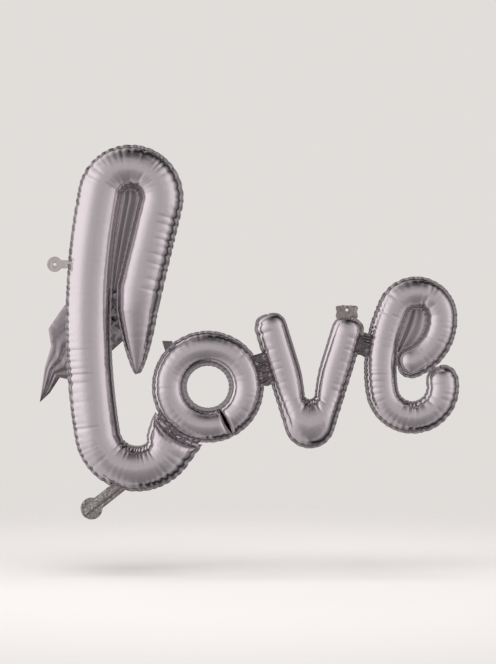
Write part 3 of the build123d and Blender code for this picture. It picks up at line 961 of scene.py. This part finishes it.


# Loop film: the welded layers hang slack and slightly hazed, so what they mirror is soft. Its colour is
# greyer than the letters' film: partly the welded layers' own grey, partly painted shade of the hollow inside
# the loop.
loop_coat_painted_shade = film_material("slack_welded_film_painted_shade", "#BDB8BB", "#ABA7A8", 0.34, 0.25, 0.34)
L_LOOP_LOW = -50 * MM
E_EYE_LOW = -160 * MM
l_stem_low = nearest_place(l_walk, L_LOOP_LOW, start=l_top_at)
l_limb_low = nearest_place(l_walk, L_LOOP_LOW, end=l_top_at)
loop_film("l_loop_film", l_walk, l_top_at, l_stem_low, l_limb_low, 34 * MM, "letter_l")
e_lengths = e_walk.lengths()
e_top_at = e_lengths[max(range(len(e_lengths)), key=lambda i: e_walk.points[i].y)]
e_side_low = nearest_place(e_walk, E_EYE_LOW, start=e_top_at)
loop_film("e_eye_film", e_walk, e_top_at, e_side_low, 20 * MM, 22 * MM, "letter_e")

# --- Tail ---------------------------------------------------------------------------------------------
# A flat chamber shaped as a fishtail crosses behind the l. It holds little air, so its film stands in
# long sharp pleats that run from the tail's notch to its root.
TAIL_Y = 52 * MM
# outline from the notch's point to the right end, above and below, in mm
TAIL_TOP = [(-33, -254), (-24, -190), (-12, -150), (-17, -118), (13, -74), (60, -50), (110, -34), (160, -62)]
TAIL_LOW = [(-33, -254), (-14, -236), (4, -208), (30, -214), (88, -170), (120, -141), (152, -112), (160, -62)]
TAIL_STEPS = 150
TAIL_DEPTH = 10.5 * MM
PLEATS = 4
PLEAT_HEIGHT = 3.5 * MM


def even_points(corners, count):
    """Points at even shares of a line of corners' own length."""
    corners = [Vector(c) * MM for c in corners]
    spans = [(b - a).length for a, b in zip(corners, corners[1:])]
    total = sum(spans)
    points = []
    for i in range(count):
        left = total * i / (count - 1)
        k = 0
        while k < len(spans) - 1 and left > spans[k]:
            left -= spans[k]
            k += 1
        points.append(corners[k].lerp(corners[k + 1], min(1.0, left / spans[k])))
    return points


tail_upper = even_points(TAIL_TOP, TAIL_STEPS)
tail_lower = even_points(TAIL_LOW, TAIL_STEPS)


def tail_rise(side):
    def rise(along, across, point):
        span = min(1.0, along * 5.0, (1 - along) * 6.0)
        crown = math.sqrt(max(0.0, 1 - (2 * across - 1) ** 2)) ** 0.7 * round_off(span, 1.0)
        fold = abs(((across + 0.06 * math.sin(along * 7)) * PLEATS) % 1.0 - 0.5) * 2
        pleat = (fold - 0.5) * PLEAT_HEIGHT * math.sin(math.pi * across) * round_off(span, 1.0)
        puff = side * (TAIL_DEPTH * crown * 0.8 + SHEET_APART)
        return TAIL_Y + puff + pleat + crumple(point, 0.02, 0.6 * MM)

    return rise


# Slack metallised film: little air stretches it, so it is rumpled and mirrors in broken patches. Its dark
# grey colour is painted shade, for the tail lies in shadow behind the l.
tail_film_painted_shade = film_material("slack_film_painted_shade", "#A6A1A5", "#A9A4A7", 0.18, 1.5, 0.2)
for side, word in SIDES:
    bm = ruled_sheet(tail_upper, tail_lower, 40, tail_rise(side))
    piece = finish_sheet(
        f"tail_{word}_sheet", bm, tail_film_painted_shade, "letter_l", [f"tail_{word}_foil"], side
    )

# --- Neck ---------------------------------------------------------------------------------------------
# The filling neck is a flat double strip with a round end, which sticks out of the l's bottom seam. It
# is handled, rolled and pressed flat, so its film is duller and creased all over. The films of the
# self-closing valve run down its middle, where the straw goes in.
NECK_ROOT = Vector((109.5, -412.0)) * MM
NECK_OUT = Vector((math.cos(math.radians(218.5)), math.sin(math.radians(218.5))))
NECK_SIDE = Vector((-NECK_OUT.y, NECK_OUT.x))
NECK_WIDTH = 24 * MM
NECK_LENGTH = 54 * MM
NECK_ROUND = 20 * MM
NECK_INSIDE = 15 * MM
NECK_STEPS = 90
STRAW_HALF = 5.5 * MM
STRAW_RISE = 3.3 * MM


def neck_half_width(reach):
    """Half the strip's width at a distance from the fold: straight, then swelling to the round end."""
    past = reach - NECK_LENGTH
    disc = math.sqrt(max(0.0, NECK_ROUND**2 - past**2)) if abs(past) < NECK_ROUND else 0.0
    return max(NECK_WIDTH / 2 if past < 0 else 0.0, disc)


NECK_WHOLE = NECK_INSIDE + NECK_LENGTH + NECK_ROUND
neck_reaches = [
    -NECK_INSIDE + NECK_WHOLE * math.sin(math.pi / 2 * i / (NECK_STEPS - 1)) ** 0.9
    for i in range(NECK_STEPS)
]
neck_edges = [
    [NECK_ROOT + NECK_OUT * r + NECK_SIDE * sign * neck_half_width(r) for r in neck_reaches]
    for sign in (-1, 1)
]


def neck_rise(side):
    def rise(along, across, point):
        beside = abs((point - NECK_ROOT).dot(NECK_SIDE))
        straw = math.sqrt(max(0.0, 1 - (beside / STRAW_HALF) ** 2)) * STRAW_RISE
        sealed = smooth(min(across, 1 - across) * 8)
        height = 0.9 * MM * sealed + straw * smooth((1 - along) * 12)
        return side * height + crumple(point, 0.011, 1.5 * MM, 3.0) + crumple(point, 0.004, 0.35 * MM, 8.0)

    return rise


# Handled metallised film: fine creases all over break its mirror. Its dull grey colour is painted shade of
# those creases.
creased_film_painted_shade = film_material("creased_metallised_film_painted_shade", "#A7A3A1", "#8F8B89", 0.27, 2.4, 0.32, 2.2)
for side, word in SIDES:
    bm = ruled_sheet(neck_edges[0], neck_edges[1], 26, neck_rise(side))
    piece = finish_sheet(
        f"neck_{word}_sheet", bm, creased_film_painted_shade, None, [f"neck_{word}_foil"], side, thick=0.25 * MM
    )
    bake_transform(piece)

# --- Folds between the letters --------------------------------------------------------------------------
# Where two letters meet, a crumpled strip of welded film is the hinge. A flattened duct through its
# middle lets the air pass from one letter to the next.
DUCT_HALF = 7 * MM
DUCT_RISE = 2.1 * MM
STRIP_ROWS = 46
GATHER = 3.2 * MM
RAGGED = 1.6 * MM


def fold_strip(name, line, across_way, reach, length, duct, seed, ring=0.0):
    """Hinge strip on a fold line: its reach on each side, and its length along the line.

    ring is the radius of the round seam it lies along, if there is one.
    """
    along_way = Vector((-across_way.y, across_way.x))
    steps = max(20, round((reach[0] + reach[1]) / (1.0 * MM)))
    runs = [-reach[0] + (reach[0] + reach[1]) * i / (steps - 1) for i in range(steps)]
    sides = []
    for sign in (-1, 1):
        side_points = []
        for run in runs:
            # the strip's ends are torn off raggedly by the gathers
            ragged = RAGGED * noise.noise(Vector((run * 160, sign * 3.0, seed)))
            beside = sign * (length / 2 + ragged)
            side_points.append(line + across_way * run + along_way * beside)
        sides.append(side_points)

    def rise(side):
        def height(along, across, point):
            run, beside = (point - line).dot(across_way), (point - line).dot(along_way)
            sleeve = math.sqrt(max(0.0, 1 - (beside / DUCT_HALF) ** 2)) * DUCT_RISE
            gather = noise.noise(Vector((beside / (7 * MM), run / (24 * MM), seed)))
            ridge = (0.5 - abs(gather) * 2.4) * GATHER
            return side * (sleeve + 0.3 * MM) + ridge + crumple(point, 0.009, 0.9 * MM, seed)

        return height

    for side, word in SIDES:
        bm = ruled_sheet(sides[0], sides[1], STRIP_ROWS, rise(side))
        for vert in bm.verts:
            beside = (Vector((vert.co.x, vert.co.z)) - line).dot(along_way)
            bow = beside**2 / (2 * ring) if ring else 0.0
            vert.co += Vector((across_way.x, 0, across_way.y)) * bow
        nodes = [duct] if side < 0 else []
        piece = finish_sheet(f"{name}_{word}", bm, strip_film_painted_shade, None, nodes, side, level=0)
        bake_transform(piece)


# Worked film: the hinge strips are bent, gathered and folded. Their dark grey colour is painted shade of the
# crevices between the letters, where they lie.
strip_film_painted_shade = film_material("gathered_film_painted_shade", "#827D80", "#827D80", 0.22, 1.6, 0.2)
fold_strip(
    "fold_strip_l_o",
    lo_point,
    lo_across,
    reach=(9 * MM, 11 * MM),
    length=92 * MM,
    duct="air_duct_l_o",
    seed=1.3,
    ring=O_SEAM_RADIUS,
)
fold_strip(
    "fold_strip_o_v",
    joint_place("fold_o_v"),
    joint_across("fold_o_v"),
    reach=(19 * MM, 12 * MM),
    length=60 * MM,
    duct="air_duct_o_v",
    seed=4.1,
)
fold_strip(
    "fold_strip_v_e",
    joint_place("fold_v_e"),
    joint_across("fold_v_e"),
    reach=(11 * MM, 15 * MM),
    length=42 * MM,
    duct="air_duct_v_e",
    seed=7.7,
)

# --- Hanging tabs -----------------------------------------------------------------------------------------
# Three tabs of doubly welded film stand out of the seams. Each has a punched eyelet with a pressed ring round
# it.
EYELET = 2.5 * MM
RING_PRESS = 5.2 * MM
RING_RISE = 0.5 * MM
RING_WIDE = 0.9 * MM
TAB_TURNS = 96
TAB_RINGS = 16
TAB_THICK = 0.7 * MM
# how squarely a boxed outline turns its corners
BOX_POWER = 9.0


def tab_sheet(name, eye, outline, node, material, rumple, up=(0, 0, 1), seed=0.0):
    """Tab with its eyelet at eye. outline(turn) is its edge's distance from the eyelet's middle.

    rumple is the height of its crumples, and up is the way its top points.
    """
    bm = bmesh.new()
    bmesh.ops.create_grid(bm, x_segments=TAB_TURNS, y_segments=TAB_RINGS, size=1)
    seal = bm.verts.layers.float.new("seal")
    for vert in bm.verts:
        turn = (vert.co.x + 1) * math.pi
        share = (vert.co.y + 1) / 2
        reach = EYELET + (outline(turn) - EYELET) * share
        a, b = math.cos(turn) * reach, math.sin(turn) * reach
        flat = Vector((eye[0] + a, eye[2] + b))
        wave = crumple(flat, 0.012, rumple, seed) * smooth(share * 1.5)
        wave += RING_RISE * math.exp(-(((reach - RING_PRESS) / RING_WIDE) ** 2))
        place = Vector(eye) + Vector((a, 0, 0)) + Vector(up) * b
        vert.co = place + Vector((1, 0, 0)).cross(Vector(up)) * wave
        vert[seal] = 0.0
    piece = finish_sheet(name, bm, material, None, [node], -1, thick=TAB_THICK)
    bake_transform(piece)


def boxed(turn, left, right, down, top):
    """Distance from a point inside a box to its edge, in a direction, with softened corners."""
    c, s = math.cos(turn), math.sin(turn)
    limit_x = (right if c > 0 else left) / max(abs(c), 1e-6)
    limit_y = (top if s > 0 else down) / max(abs(s), 1e-6)
    return (limit_x**-BOX_POWER + limit_y**-BOX_POWER) ** (-1 / BOX_POWER)


# Tab film: two welded layers, smooth and pale because the eyelet's ring pulls them flat.
tab_film = film_material("pressed_double_film", "#DEDBDA", "#C4C0BF", 0.24, 0.8, 0.24)
l_fold = joint_place("tab_l_fold")
v_fold_line = joint_place("tab_v_fold")
o_fold_line = joint_place("tab_o_fold")


def l_tab_outline(turn):
    strap = boxed(turn, 1 * MM, l_fold.x + 7 * MM, 7.5 * MM, 7.5 * MM)
    return max(14 * MM, strap if math.cos(turn) > 0 else 0.0)


def v_tab_outline(turn):
    wavy = 1 + 0.05 * math.sin(9 * turn)
    return boxed(turn, 19.4 * MM, 19.4 * MM, 17 * MM, 8.2 * MM) * wavy


tab_sheet(
    "hanging_tab_l_sheet",
    (0, 0, 0),
    l_tab_outline,
    "hanging_tab_l",
    tab_film,
    0.5 * MM,
)
# The v's tab wears the creased film, whose dark grey is painted shade of its flange.
tab_sheet(
    "hanging_tab_v_sheet",
    (v_fold_line.x, 0, v_fold_line.y + 9.2 * MM),
    v_tab_outline,
    "hanging_tab_v",
    creased_film_painted_shade,
    1.8 * MM,
    seed=5.0,
)
# The o's tab wears the creased film, whose dark grey is painted shade of its flange.
tab_sheet(
    "hanging_tab_o_sheet",
    (o_fold_line.x, 11.5 * MM, o_fold_line.y),
    lambda turn: boxed(turn, 9 * MM, 9 * MM, 11.5 * MM, 10 * MM),
    "hanging_tab_o",
    creased_film_painted_shade,
    1.2 * MM,
    up=(0, 1, 0),
    seed=9.0,
)
# Gusset of the o's tab: it climbs from the ring's seam to the fold line.
GUSSET_STEPS = 24


def gusset_edge(top, low):
    """One side of the gusset, between two places given in mm from the fold line's middle."""
    start, end = (o_fold_line + Vector(place) * MM for place in (top, low))
    return [start.lerp(end, i / (GUSSET_STEPS - 1)) for i in range(GUSSET_STEPS)]


def gusset_rise(along, across, point):
    return crumple(point, 0.012, 1.3 * MM, 2.0)


# The gusset wears the gathered film, whose dark grey is painted shade.
bm = ruled_sheet(gusset_edge((-9, -0.2), (-1, -26)), gusset_edge((9, -0.2), (21, -26)), 20, gusset_rise)
finish_sheet("tab_gusset_o", bm, strip_film_painted_shade, "letter_o", [], -1)

# --- Valve films --------------------------------------------------------------------------------------------
# The valve is two clear films welded along their edges, which the air inside presses shut. They lie in
# the neck and run on into the l as two loose flaps.


def clear_film():
    material = bpy.data.materials.new("clear_polyethylene_film")
    material.use_nodes = True
    tree = material.node_tree
    tree.nodes.clear()
    place = add_node(tree, "ShaderNodeTexCoord")
    drawn = add_node(
        tree,
        "ShaderNodeTexNoise",
        {"Scale": 160.0, "Detail": 2.0, "Roughness": 0.5},
        {"Vector": place.outputs["Object"]},
    )
    waves = add_node(
        tree, "ShaderNodeBump", {"Strength": 0.25, "Distance": 0.0006}, {"Height": drawn.outputs[0]}
    )
    film = add_node(
        tree,
        "ShaderNodeBsdfPrincipled",
        {"Base Color": srgb("#E6E9EC"), "Roughness": 0.18, "IOR": 1.51, "Alpha": 0.45},
        {"Normal": waves.outputs[0]},
    )
    add_node(tree, "ShaderNodeOutputMaterial", links={"Surface": film.outputs[0]})
    return material


# Welded film: the same metallised nylon in two layers, pressed flat, a little greyer than one layer.
welded_film = film_material("heat_welded_double_film", "#CBC7CA", "#ABA7A8", 0.17, 0.6, 0.22)
valve_clear = clear_film()
for name, material in (
    ("valve_film_front", valve_clear),
    ("valve_film_back", valve_clear),
    ("valve_flap_front", valve_clear),
    ("valve_flap_back", valve_clear),
    ("air_duct_tail", welded_film),
):
    for place in frame["nodes"][name].material_slots:
        place.material = material
